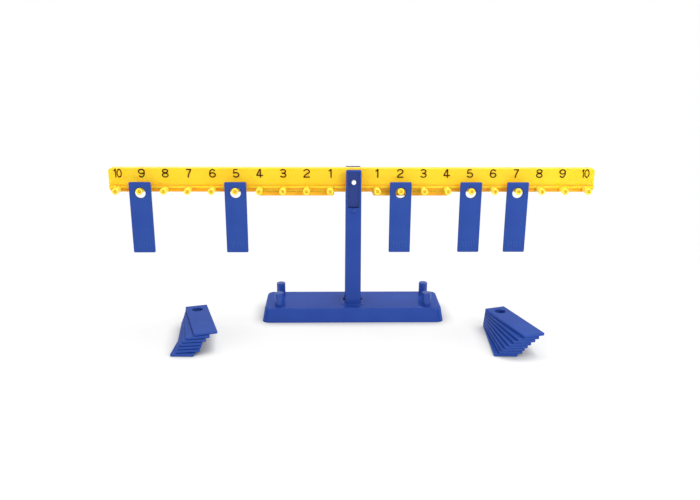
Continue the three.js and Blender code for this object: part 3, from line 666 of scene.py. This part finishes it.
@dataclass(frozen=True)
class MouldedShading:
    """Smooth shading over a solid's curved faces that leaves its flat faces flat."""

    smooth_degrees: float = 32.0
    weld: float = 0.000002
    group_name: str = "moulded_shading"

    def _group(self) -> bpy.types.NodeTree:
        """Makes the group that welds a solid's facets and shades them smooth up to an angle.

        Returns:
            The node group, the same one for each solid.
        """
        known = bpy.data.node_groups.get(self.group_name)
        if known is not None:
            return known
        tree = bpy.data.node_groups.new(self.group_name, "GeometryNodeTree")
        for way in ("INPUT", "OUTPUT"):
            tree.interface.new_socket("Geometry", in_out=way, socket_type="NodeSocketGeometry")
        start = tree.nodes.new("NodeGroupInput")
        bare = tree.nodes.new("GeometryNodeRemoveAttribute")
        bare.inputs["Name"].default_value = "custom_normal"
        weld = tree.nodes.new("GeometryNodeMergeByDistance")
        weld.inputs["Distance"].default_value = self.weld
        faces = tree.nodes.new("GeometryNodeSetShadeSmooth")
        faces.domain = "FACE"
        angle = tree.nodes.new("GeometryNodeInputMeshEdgeAngle")
        gentle = tree.nodes.new("FunctionNodeCompare")
        gentle.data_type = "FLOAT"
        gentle.operation = "LESS_THAN"
        gentle.inputs["B"].default_value = math.radians(self.smooth_degrees)
        edges = tree.nodes.new("GeometryNodeSetShadeSmooth")
        edges.domain = "EDGE"
        end = tree.nodes.new("NodeGroupOutput")
        chain = (start, bare, weld, faces, edges, end)
        for before, after in zip(chain, chain[1:]):
            tree.links.new(before.outputs["Geometry"], after.inputs["Geometry"])
        tree.links.new(angle.outputs["Unsigned Angle"], gentle.inputs["A"])
        tree.links.new(gentle.outputs["Result"], edges.inputs["Shade Smooth"])
        return tree

    def apply(self, solid: bpy.types.Object) -> None:
        """Shades a solid through modifiers alone.

        Args:
            solid: The CAD node's object.
        """
        shading = solid.modifiers.new(self.group_name, "NODES")
        shading.node_group = self._group()
        normals = solid.modifiers.new("flat_faces", "WEIGHTED_NORMAL")
        normals.keep_sharp = True


def dress_node(name: str, material: Material) -> None:
    """Gives a CAD node its finish and its shading.

    Args:
        name: The node's name.
        material: Its finish.
    """
    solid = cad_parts[name]
    solid.data.materials.clear()
    solid.data.materials.append(material)
    MouldedShading().apply(solid)
    LOG.info("dressed %s", name)


@dataclass
class Stand:
    """The blue base and column, and the white pin between the prongs."""

    base: str = "base_tray"
    column: str = "upright_column"
    pin: str = "pivot_pin"

    def dress(self) -> None:
        """Finishes the stand's solids."""
        dress_node(self.base, BASE_BLUE.material())
        dress_node(self.column, COLUMN_BLUE.material())
        dress_node(self.pin, PIN_WHITE.material())


def bow(centre: Point, radii: Point, sweep: Span, steps: int) -> Ring:
    """Draws part of an ellipse.

    Args:
        centre: Its middle.
        radii: Its half width and half height.
        sweep: The first and the last point's angle in degrees.
        steps: Facets along it.

    Returns:
        The points along it.
    """
    start, end = sweep
    angles = [math.radians(start + (end - start) * i / steps) for i in range(steps + 1)]
    return [(centre[0] + radii[0] * math.cos(a), centre[1] + radii[1] * math.sin(a)) for a in angles]


@dataclass(frozen=True)
class Figures:
    """Plain upright figures drawn with strokes of one width, in parts of their height.

    Points are the places of a stroke's middle line, and sweeps are the angles of a bowl in degrees.
    """

    wide: float = 0.76
    stroke: float = 0.142
    oval_steps: int = 36
    bowl_steps: int = 20
    nudge: float = 0.01
    lower_y: float = 0.285
    nought_y: float = 0.5
    one_flag: tuple[Point, ...] = ((0.09, 0.77), (0.2, 0.8), (0.29, 0.87), (0.33, 0.96))
    one_stem_x: float = 0.36
    two_bowl_y: float = 0.7
    two_sweep: Span = (172.0, -38.0)
    two_neck: tuple[Point, ...] = ((0.3, 0.36), (0.14, 0.21))
    two_heel_x: float = 0.075
    two_foot_in: float = 0.02
    three_upper_y: float = 0.73
    three_upper_in: float = 0.035
    three_upper_sweep: Span = (165.0, -90.0)
    three_lower_sweep: Span = (90.0, -165.0)
    three_waist: tuple[Point, ...] = ((0.22, 0.52), (0.22, 0.51))
    four_slope: tuple[Point, ...] = ((0.415, 0.97), (0.05, 0.29))
    four_bar_y: float = 0.27
    four_stem_x: float = 0.455
    five_bowl_y: float = 0.32
    five_sweep: Span = (138.0, -162.0)
    five_flag_x: Span = (0.55, 0.16)
    five_hook: Point = (0.105, 0.47)
    six_stem_y: float = 0.46
    six_sweep: Span = (38.0, 196.0)
    six_bowl_y: float = 0.31
    seven_bar_x: Span = (0.03, 0.6)
    seven_top_x: float = 0.585
    seven_stem: tuple[Point, ...] = ((0.45, 0.7), (0.33, 0.42), (0.26, 0.2), (0.235, 0.0))
    eight_upper_y: float = 0.745
    eight_upper_in: float = 0.03

    @property
    def low(self) -> float:
        """The height of a stroke along the foot."""
        return self.stroke / 2

    @property
    def high(self) -> float:
        """The height of a stroke along the top."""
        return 1.0 - self.stroke / 2

    @property
    def mid(self) -> float:
        """The middle of a figure's width."""
        return self.wide / 2

    @property
    def side(self) -> float:
        """Half the width between the strokes at a figure's two sides."""
        return self.mid - self.stroke / 2

    def _oval(self, y: float, radii: Point) -> Ring:
        """A whole oval about the figure's middle, whose last point is its first one."""
        return bow((self.mid, y), radii, (QUARTER_TURN, QUARTER_TURN + FULL_TURN), self.oval_steps)

    def _bar(self, across: Span, y: float) -> Ring:
        """A stroke that lies level."""
        return [(x, y) for x in across]

    def _stem(self, x: float) -> Ring:
        """A stroke that stands upright from top to foot."""
        return [(x, 1.0), (x, 0.0)]

    def _two(self) -> list[Ring]:
        """The strokes of a two: its bowl and neck, and its foot."""
        radii = (self.side, self.high - self.two_bowl_y)
        bowl = bow((self.mid, self.two_bowl_y), radii, self.two_sweep, self.bowl_steps)
        foot = self._bar((self.two_foot_in, self.wide - self.two_foot_in), self.low)
        return [[*bowl, *self.two_neck, (self.two_heel_x, self.low)], foot]

    def _three(self) -> list[Ring]:
        """The strokes of a three: its upper and its lower bowl."""
        mid = self.mid - self.nudge
        upper_radii = (self.side - self.three_upper_in, self.high - self.three_upper_y)
        upper = bow((mid, self.three_upper_y), upper_radii, self.three_upper_sweep, self.bowl_steps)
        lower_radii = (self.side, self.lower_y - self.low)
        lower = bow((mid, self.lower_y), lower_radii, self.three_lower_sweep, self.bowl_steps)
        return [[*upper, self.three_waist[0]], [self.three_waist[1], *lower]]

    def _five(self) -> list[Ring]:
        """The strokes of a five: its flag with the hook below it, and its bowl."""
        centre = (self.mid - self.nudge, self.five_bowl_y)
        bowl = bow(centre, (self.side, self.five_bowl_y - self.low), self.five_sweep, self.bowl_steps)
        return [[*self._bar(self.five_flag_x, self.high), self.five_hook], bowl]

    def _six(self) -> list[Ring]:
        """The strokes of a six: its stem and its closed bowl."""
        centre = (self.mid + self.nudge, self.six_stem_y)
        radii = (self.side + self.nudge, self.high - self.six_stem_y)
        bowl = self._oval(self.six_bowl_y, (self.side, self.six_bowl_y - self.low))
        return [bow(centre, radii, self.six_sweep, self.bowl_steps), bowl]

    def _eight(self) -> list[Ring]:
        """The strokes of an eight: its two ovals."""
        upper = (self.side - self.eight_upper_in, self.high - self.eight_upper_y)
        lower = (self.side, self.lower_y - self.low)
        return [self._oval(self.eight_upper_y, upper), self._oval(self.lower_y, lower)]

    def strokes(self, figure: str) -> list[Ring]:
        """Lists a figure's strokes.

        Args:
            figure: One of the ten figures.

        Returns:
            Rows of points, each the middle line of a stroke.
        """
        across = (0.0, self.wide)
        drawn = {
            "0": [self._oval(self.nought_y, (self.side, self.high - self.nought_y))],
            "1": [list(self.one_flag), self._stem(self.one_stem_x)],
            "2": self._two(),
            "3": self._three(),
            "4": [list(self.four_slope), self._bar(across, self.four_bar_y), self._stem(self.four_stem_x)],
            "5": self._five(),
            "6": self._six(),
            "7": [self._bar(self.seven_bar_x, self.high), [(self.seven_top_x, self.high), *self.seven_stem]],
            "8": self._eight(),
            "9": [[(self.wide - x, 1.0 - y) for x, y in row] for row in self._six()],
        }
        return drawn[figure]

    def ribbon(self, row: Ring) -> tuple[Ring, Ring]:
        """Widens a stroke's middle line to its two sides.

        Args:
            row: The middle line.

        Returns:
            The points of its left side and of its right side.
        """
        left, right = [], []
        closed = math.dist(row[0], row[-1]) < self.stroke * CLOSED_SHARE
        for i, (x, y) in enumerate(row):
            before = row[i - 1] if i else (row[-2] if closed else row[0])
            after = row[i + 1] if i + 1 < len(row) else (row[1] if closed else row[-1])
            run = Vector((after[0] - before[0], after[1] - before[1])).normalized() * (self.stroke / 2)
            left.append((x - run.y, y + run.x))
            right.append((x + run.y, y - run.x))
        return left, right


@dataclass
class NumberBeam:
    """The yellow beam with its printed numbers and the round marks that the mould left behind it."""

    node: str = "number_beam"
    body: str = "beam"
    face_y: float = -1.2 * MM
    back_y: float = 1.8 * MM
    number_z: float = 202.9 * MM
    number_height: float = 12.1 * MM
    ten_narrowing: float = 0.76
    ten_advance: float = 0.5
    ink_thick: float = 0.06 * MM
    ink_step: float = 0.004 * MM
    ink_bedded: float = 1 / 3
    mark_radius: float = 2.6 * MM
    mark_height: float = 0.18 * MM
    mark_edge: float = 0.07 * MM
    mark_edge_steps: int = 3
    mark_rim: float = 0.2 * MM
    mark_z: float = 199.5 * MM
    mark_steps: tuple[float, ...] = (0.62, 2.5, 4.9, 6.6, 8.1, 9.4)
    mark_sides: int = 28
    figures: Figures = Figures()

    def _number_mesh(self, number: int) -> Mesh:
        """Draws a number as films of ink about its own middle, standing in X and Y.

        Args:
            number: What it reads.

        Returns:
            The mesh.
        """
        bm = bmesh.new()
        narrow = 1.0 if number < PEGS_PER_ARM else self.ten_narrowing
        level = 0
        for place, figure in enumerate(str(number)):
            for row in self.figures.strokes(figure):
                sides = self.figures.ribbon(row)
                thick = self.ink_thick + level * self.ink_step
                self._film(bm, sides, place * self.ten_advance, narrow, thick)
                level += 1
        low = min(v.co.x for v in bm.verts)
        high = max(v.co.x for v in bm.verts)
        bmesh.ops.translate(bm, verts=bm.verts, vec=(-(low + high) / 2, -self.number_height / 2, 0.0))
        bmesh.ops.recalc_face_normals(bm, faces=bm.faces)
        mesh = bpy.data.meshes.new(f"number_{number}")
        bm.to_mesh(mesh)
        bm.free()
        return mesh

    def _film(
        self, bm: bmesh.types.BMesh, sides: tuple[Ring, Ring], start: float, narrow: float, thick: float
    ) -> None:
        """Adds one stroke as a thin closed film.

        Args:
            bm: The number's mesh.
            sides: The stroke's left and right side.
            start: Where its figure starts, in parts of the height.
            narrow: How much of its width the figure keeps.
            thick: The film's thickness.
        """
        tall = self.number_height
        rows = []
        for z in (0.0, thick):
            for side in sides:
                rows.append([bm.verts.new(((start + x) * narrow * tall, y * tall, z)) for x, y in side])
        low_left, low_right, top_left, top_right = rows
        closed = (low_left[0].co - low_left[-1].co).length < self.ink_step
        if closed:
            for row in rows:
                bm.verts.remove(row.pop())
        count = len(low_left)
        for i in range(count if closed else count - 1):
            j = (i + 1) % count
            bm.faces.new((top_left[i], top_right[i], top_right[j], top_left[j]))
            bm.faces.new((low_left[i], low_left[j], low_right[j], low_right[i]))
            bm.faces.new((low_left[i], top_left[i], top_left[j], low_left[j]))
            bm.faces.new((low_right[i], low_right[j], top_right[j], top_right[i]))
        if not closed:
            for i in (0, count - 1):
                bm.faces.new((low_left[i], low_right[i], top_right[i], top_left[i]))

    def build_numbers(self, ink: Material) -> None:
        """Prints one to ten along each arm.

        Args:
            ink: The print's finish.
        """
        bed_y = self.face_y + self.ink_thick * self.ink_bedded
        for number in range(1, PEGS_PER_ARM + 1):
            mesh = self._number_mesh(number)
            for arm in Arm:
                spot = (arm.value * number * PEG_PITCH, bed_y, self.number_z)
                made = piece(f"number_{arm.word}_{number}", mesh, ink, Matrix.Translation(spot) @ UPRIGHT)
                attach(made, self.body)
        LOG.info("printed %d numbers", len(Arm) * PEGS_PER_ARM)

    def build_mould_marks(self, yellow: Material) -> None:
        """Adds the faint round marks of the mould's ejector pins behind the beam.

        Args:
            yellow: The beam's finish.
        """
        plate = PlateMesh()
        rise = upper_edge(self.mark_height, self.mark_edge, self.mark_edge_steps, self.mark_rim)
        profile = [(0.0, -self.mark_edge), *rise]
        plate.add(lambda inset: round_ring(self.mark_radius - inset, self.mark_sides), None, profile)
        mesh = plate.finish("mould_mark")
        backwards = UPRIGHT.inverted()
        for arm in Arm:
            for count, step in enumerate(self.mark_steps, start=1):
                spot = (arm.value * step * PEG_PITCH, self.back_y, self.mark_z)
                place = Matrix.Translation(spot) @ backwards
                made = piece(f"mould_mark_{arm.word}_{count}", mesh, yellow, place)
                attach(made, self.body)
        LOG.info("added %d mould marks", len(Arm) * len(self.mark_steps))

    def dress(self, yellow: Material) -> None:
        """Finishes the beam's solid."""
        dress_node(self.node, yellow)


@dataclass
class PegRow:
    """The twenty headed pegs along the beam's front, turned finer than their solids."""

    body: str = "beam"
    seat_y: float = -4.42 * MM
    axis_z: float = 181.75 * MM
    length: float = 16.38 * MM
    root_radius: float = 4.15 * MM
    radius: float = 4.0 * MM
    head_radius: float = 4.5 * MM
    head_length: float = 2.3 * MM
    shoulder: float = 0.4 * MM
    head_round: float = 0.6 * MM
    dimple_radius: float = 2.2 * MM
    dimple_depth: float = 3.0 * MM
    small_round: float = 0.25 * MM
    round_steps: int = 4
    sides: int = 40
    smooth_degrees: float = 40.0

    def _corner(self, at: Point, size: float, start: float) -> Ring:
        """A quarter round in the profile, from an angle in degrees anticlockwise to a right angle further."""
        return bow(at, (size, size), (start, start + QUARTER_TURN), self.round_steps)

    def _profile(self) -> Ring:
        """Lists the peg's profile from the middle of its seat to the middle of its dimple.

        Returns:
            Pairs of radius and height.
        """
        head_low = self.length - self.head_length
        small = self.small_round
        rim_at = (self.head_radius - self.head_round, self.length - self.head_round)
        rim = self._corner(rim_at, self.head_round, 0.0)
        mouth = self._corner((self.dimple_radius + small, self.length - small), small, QUARTER_TURN)
        floor = self.length - self.dimple_depth
        return [
            (0.0, 0.0),
            (self.root_radius, 0.0),
            (self.radius, head_low),
            (self.head_radius - small, head_low + self.shoulder - small / 2),
            (self.head_radius, head_low + self.shoulder + small / 2),
            *rim,
            *mouth,
            (self.dimple_radius, floor + small),
            (self.dimple_radius - small, floor),
            (0.0, floor),
        ]

    def _mesh(self) -> Mesh:
        """Turns the profile about the peg's axis.

        Returns:
            The mesh, which every peg shares.
        """
        bm = bmesh.new()
        loops = []
        for radius, height in self._profile():
            ring = round_ring(radius, self.sides) if radius > 0.0 else [(0.0, 0.0)]
            loops.append([bm.verts.new((x, y, height)) for x, y in ring])
        for low, high in zip(loops, loops[1:]):
            for i in range(self.sides):
                j = (i + 1) % self.sides
                corners = [low[i % len(low)], low[j % len(low)], high[j % len(high)], high[i % len(high)]]
                bm.faces.new(list(dict.fromkeys(corners)))
        return smooth_mesh(bm, "peg", self.smooth_degrees)

    def build(self, yellow: Material) -> None:
        """Sets every peg on its boss.

        Args:
            yellow: The pegs' finish.
        """
        mesh = self._mesh()
        for arm in Arm:
            for number in range(1, PEGS_PER_ARM + 1):
                node = f"peg_{arm.word}_{number}"
                spot = (arm.value * number * PEG_PITCH, self.seat_y, self.axis_z)
                made = piece(f"{node}_turned", mesh, yellow, Matrix.Translation(spot) @ UPRIGHT)
                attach(made, self.body)
                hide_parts(node)
                LOG.info("set %s", node)


@dataclass
class ZeroSliders:
    """The two sliding strips under the beam."""

    names: tuple[str, ...] = ("zero_slider_left", "zero_slider_right")

    def dress(self, yellow: Material) -> None:
        """Finishes both sliders."""
        for name in self.names:
            dress_node(name, yellow)


@dataclass(frozen=True)
class Laid:
    """How a weight lies: the place of its hole and its turn in degrees."""

    at: Point
    turn: float

    def place(self, height: float) -> Matrix:
        """The weight's place at a height above the table."""
        return Matrix.Translation((*self.at, height)) @ Matrix.Rotation(math.radians(self.turn), 4, "Z")


@dataclass(frozen=True)
class StackFan:
    """A fanned stack: the hole's place in its lowest and highest weight, and each one's turn in degrees."""

    foot: Point
    top: Point
    turns: tuple[float, ...]
    stray: tuple[Laid, ...] = ()

    def weights(self) -> list[Laid]:
        """Lists the stack's weights from the table up.

        Returns:
            How each of them lies, those that slid away from under the fan first.
        """
        last = len(self.turns) - 1
        laid = list(self.stray)
        for level, turn in enumerate(self.turns):
            x, y = (low + (high - low) * level / last for low, high in zip(self.foot, self.top))
            laid.append(Laid((x, y), turn))
        return laid


@dataclass
class Weights:
    """The flat blue weights, hung on the beam and stacked on the table."""

    width: float = 29.3 * MM
    length: float = 97.9 * MM
    thick: float = 3.5 * MM
    corner: float = 1.6 * MM
    hole_radius: float = 7.1 * MM
    edge: float = 0.9 * MM
    edge_steps: int = 5
    rim: float = 0.35 * MM
    corner_steps: int = 7
    hole_sides: int = 56
    stack_step: float = 3.8 * MM
    rib_count: int = 5
    rib_pitch: float = 3.9 * MM
    rib_width: float = 1.2 * MM
    rib_length: float = 8.0 * MM
    rib_from_end: float = 11.5 * MM
    rib_rise: float = 0.24 * MM
    rib_edge: float = 0.2 * MM
    rib_rim: float = 0.1 * MM
    rib_steps: int = 5
    rib_end_round: float = 0.98
    hung_left: tuple[int, ...] = (9, 5)
    hung_right: tuple[int, ...] = (2, 5, 7)
    stack_left: StackFan = StackFan(
        foot=(-218.4 * MM, -60.1 * MM),
        top=(-211.4 * MM, -51.9 * MM),
        turns=(6.5, 6.6, 6.7, 8.7, 11.0, 16.8),
        stray=(Laid((-213.1 * MM, -62.8 * MM), -2.0),),
    )
    stack_right: StackFan = StackFan(
        foot=(191.9 * MM, -67.5 * MM),
        top=(195.6 * MM, -72.0 * MM),
        turns=(-3.1, 0.8, 2.2, 4.4, 6.9, 10.3, 13.4, 18.1),
    )

    def _mesh(self) -> Mesh:
        """Draws one weight about the middle of its hole, lying flat, its long end towards -Y.

        Returns:
            The mesh, which every weight shares.
        """
        inset_y = self.width / 2
        middle = (0.0, inset_y - self.length / 2)
        plate = PlateMesh()

        def outline(inset: float) -> Ring:
            """The plate's outline, drawn in by an inset."""
            half_x, half_y = self.width / 2 - inset, self.length / 2 - inset
            return rounded_ring(half_x, half_y, self.corner - inset, self.corner_steps, middle)

        def hole(inset: float) -> Ring:
            """The hole's ring, opened out by an inset."""
            return round_ring(self.hole_radius + inset, self.hole_sides)

        plate.add(outline, hole, edge_profile(self.thick, self.edge, self.edge_steps, self.rim))
        rib_y = inset_y - self.length + self.rib_from_end
        rise = upper_edge(self.rib_rise, self.rib_edge, self.edge_steps, self.rib_rim)
        for number in range(self.rib_count):
            rib_x = (number - (self.rib_count - 1) / 2) * self.rib_pitch

            def rib(inset: float, centre: Point = (rib_x, rib_y)) -> Ring:
                """A raised rib's ring, drawn in by an inset."""
                half = self.rib_width / 2 - inset
                half_long = self.rib_length / 2 - inset
                return rounded_ring(half, half_long, half * self.rib_end_round, self.rib_steps, centre)

            plate.add(rib, None, [(0.0, -self.rib_edge), *rise], base_z=self.thick)
        return plate.finish("weight_plate")

    def _stand_for(self, node: str, mesh: Mesh, blue: Material, place: Matrix) -> None:
        """Puts a finished weight where a CAD weight is.

        Args:
            node: The CAD node it stands for, which has the same name as its body.
            mesh: The weights' mesh.
            blue: Its finish.
            place: Where the weight is.
        """
        made = piece(f"{node}_plate", mesh, blue, place)
        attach(made, node)
        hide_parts(node)
        LOG.info("placed %s", node)

    def build(self, blue: Material) -> None:
        """Makes every weight.

        Args:
            blue: The weights' finish.
        """
        mesh = self._mesh()
        for arm, pegs in ((Arm.LEFT, self.hung_left), (Arm.RIGHT, self.hung_right)):
            for peg in pegs:
                node = f"weight_on_{arm.word}_{peg}"
                _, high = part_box(node)
                spot = (arm.value * peg * PEG_PITCH, high.y, high.z - self.width / 2)
                self._stand_for(node, mesh, blue, Matrix.Translation(spot) @ UPRIGHT)
        for arm, fan in ((Arm.LEFT, self.stack_left), (Arm.RIGHT, self.stack_right)):
            for level, laid in enumerate(fan.weights()):
                place = laid.place(level * self.stack_step)
                self._stand_for(f"spare_{arm.word}_{level + 1}", mesh, blue, place)


@dataclass(frozen=True)
class Lamp:
    """A soft rectangular lamp."""

    name: str
    place: Place
    aim: Place
    size: Point
    watts: float

    def build(self) -> None:
        """Hangs the lamp and turns it to what it lights."""
        data = bpy.data.lights.new(self.name, "AREA")
        data.shape = "RECTANGLE"
        data.size, data.size_y = self.size
        data.energy = self.watts
        made = bpy.data.objects.new(self.name, data)
        made.location = self.place
        towards = Vector(self.aim) - Vector(self.place)
        made.rotation_euler = towards.to_track_quat("-Z", "Y").to_euler()
        bpy.context.scene.collection.objects.link(made)


@dataclass
class Studio:
    """The pale floor, the white surround, the lamps and the camera."""

    floor_half: float = 6.0
    floor_colour: float = 0.8
    shown_colour: float = 0.4
    shown_white: float = 0.52
    shadow_reach: float = 0.02
    shadow_depth: float = 1.7
    fade_span: Span = (0.42, 0.7)
    surround: float = 0.5
    camera_place: Place = (-0.02999, -0.98863, 0.39432)
    pitch_degrees: float = 16.896
    yaw_degrees: float = 1.502
    roll_degrees: float = 0.35
    focal_pixels: float = 737.7
    image_width: float = 700.0
    sensor_width: float = 36.0
    sight: float = 50.0
    lamps: tuple[Lamp, ...] = (
        Lamp("key_lamp", (0.9, -1.4, 1.0), (0.0, 0.0, 0.12), (1.0, 0.8), 16.0),
        Lamp("fill_lamp", (-1.3, -1.2, 0.55), (0.0, 0.0, 0.1), (1.0, 0.8), 8.0),
        Lamp("top_lamp", (0.0, 0.5, 1.6), (0.0, 0.0, 0.1), (1.4, 0.9), 17.5),
        Lamp("right_strip", (1.3, -0.2, 0.32), (0.0, -0.02, 0.06), (0.5, 0.6), 5.0),
        Lamp("left_strip", (-1.3, 0.1, 0.32), (0.0, -0.02, 0.06), (0.4, 0.6), 2.5),
    )

    def _seen(self, nodes: Nodes) -> Socket:
        """Adds a value of one for rays that show the surround to the camera, straight or by reflection."""
        rays = nodes.add("ShaderNodeLightPath")
        total = rays.outputs["Is Camera Ray"]
        for name in ("Is Glossy Ray", "Is Transmission Ray"):
            total = nodes.maths("MAXIMUM", total, rays.outputs[name])
        return total

    def build_surround(self) -> None:
        """Makes a white world that lights the object at a plain level."""
        world = bpy.data.worlds.new("white_surround")
        bpy.context.scene.world = world
        nodes = Nodes(world)
        dim = nodes.add("ShaderNodeBackground", Color=WHITE, Strength=self.surround)
        white = nodes.add("ShaderNodeBackground", Color=WHITE, Strength=1.0)
        shown = [node.outputs["Background"] for node in (dim, white)]
        nodes.end(nodes.mix_shaders(self._seen(nodes), *shown), "ShaderNodeOutputWorld")

    def _matt(self, nodes: Nodes, grey: float) -> Socket:
        """Adds a matt grey shader."""
        return nodes.add("ShaderNodeBsdfDiffuse", Color=(grey, grey, grey, 1.0)).outputs["BSDF"]

    def _shown_floor(self, nodes: Nodes) -> Socket:
        """Makes the floor that shows: pale near the object, with its real shadow in the matt part and a
        painted contact shadow in its glow, and white further off.

        Args:
            nodes: The floor material's nodes.

        Returns:
            The shader.
        """
        # Painted contact shadow: the glow dims where ambient occlusion finds the object close by.
        near = nodes.add("ShaderNodeAmbientOcclusion", Distance=self.shadow_reach)
        deep = nodes.maths("POWER", near.outputs["AO"], self.shadow_depth)
        pale = nodes.add("ShaderNodeEmission", Color=WHITE)
        nodes.join(nodes.remap(deep, WHOLE, (0.0, self.shown_white)), pale.inputs["Strength"])
        lit = nodes.add("ShaderNodeAddShader")
        nodes.join(self._matt(nodes, self.shown_colour), lit.inputs[0])
        nodes.join(pale.outputs["Emission"], lit.inputs[1])
        white = nodes.add("ShaderNodeEmission", Color=WHITE, Strength=1.0)
        away = nodes.tree.nodes.new("ShaderNodeVectorMath")
        away.operation = "LENGTH"
        nodes.join(nodes.add("ShaderNodeTexCoord").outputs["Object"], away.inputs[0])
        far = nodes.remap(away.outputs["Value"], self.fade_span)
        return nodes.mix_shaders(far, lit.outputs["Shader"], white.outputs["Emission"])

    def build_floor(self) -> None:
        """Lays a pale floor that shows white and keeps the object's shadow, partly real and partly painted.
        """
        half = self.floor_half
        mesh = bpy.data.meshes.new("floor")
        corners = [(-half, -half, 0.0), (half, -half, 0.0), (half, half, 0.0), (-half, half, 0.0)]
        mesh.from_pydata(corners, [], [(0, 1, 2, 3)])
        material = bpy.data.materials.new("pale_floor")
        nodes = Nodes(material)
        matt = self._matt(nodes, self.floor_colour)
        shader = nodes.mix_shaders(self._seen(nodes), matt, self._shown_floor(nodes))
        nodes.end(shader)
        floor = piece("floor", mesh, material, Matrix.Identity(4))

    def build_camera(self) -> None:
        """Sets the camera where the photograph was taken from."""
        pitch = math.radians(self.pitch_degrees)
        yaw = math.radians(self.yaw_degrees)
        roll = math.radians(self.roll_degrees)
        ahead = Vector((math.cos(pitch) * math.sin(yaw), math.cos(pitch) * math.cos(yaw), -math.sin(pitch)))
        right = Vector((math.cos(yaw), -math.sin(yaw), 0.0))
        up = right.cross(ahead)
        turned_right = right * math.cos(roll) + up * math.sin(roll)
        turned_up = up * math.cos(roll) - right * math.sin(roll)
        axes = Matrix((turned_right, turned_up, -ahead)).transposed()
        data = bpy.data.cameras.new("photo_camera")
        data.sensor_width = self.sensor_width
        data.lens = self.focal_pixels / self.image_width * self.sensor_width
        data.clip_end = self.sight
        camera = bpy.data.objects.new("photo_camera", data)
        camera.matrix_world = Matrix.Translation(self.camera_place) @ axes.to_4x4()
        bpy.context.scene.collection.objects.link(camera)
        bpy.context.scene.camera = camera

    def build(self) -> None:
        """Makes the whole studio."""
        bpy.context.scene.view_settings.view_transform = "Standard"
        self.build_surround()
        self.build_floor()
        self.build_camera()
        for lamp in self.lamps:
            lamp.build()
        LOG.info("built the studio")


def main() -> None:
    """Builds the object's looks and the studio round it."""
    logging.basicConfig(level=logging.INFO, format="%(name)s: %(message)s")
    Studio().build()
    Stand().dress()
    yellow = BEAM_YELLOW.material()
    beam = NumberBeam()
    beam.dress(yellow)
    beam.build_numbers(NUMBER_INK.material())
    beam.build_mould_marks(yellow)
    PegRow().build(PEG_LIT_YELLOW.material())
    ZeroSliders().dress(SLIDER_SHADED_YELLOW.material())
    Weights().build(WEIGHT_BLUE.material())


if __name__ == "__main__":
    main()
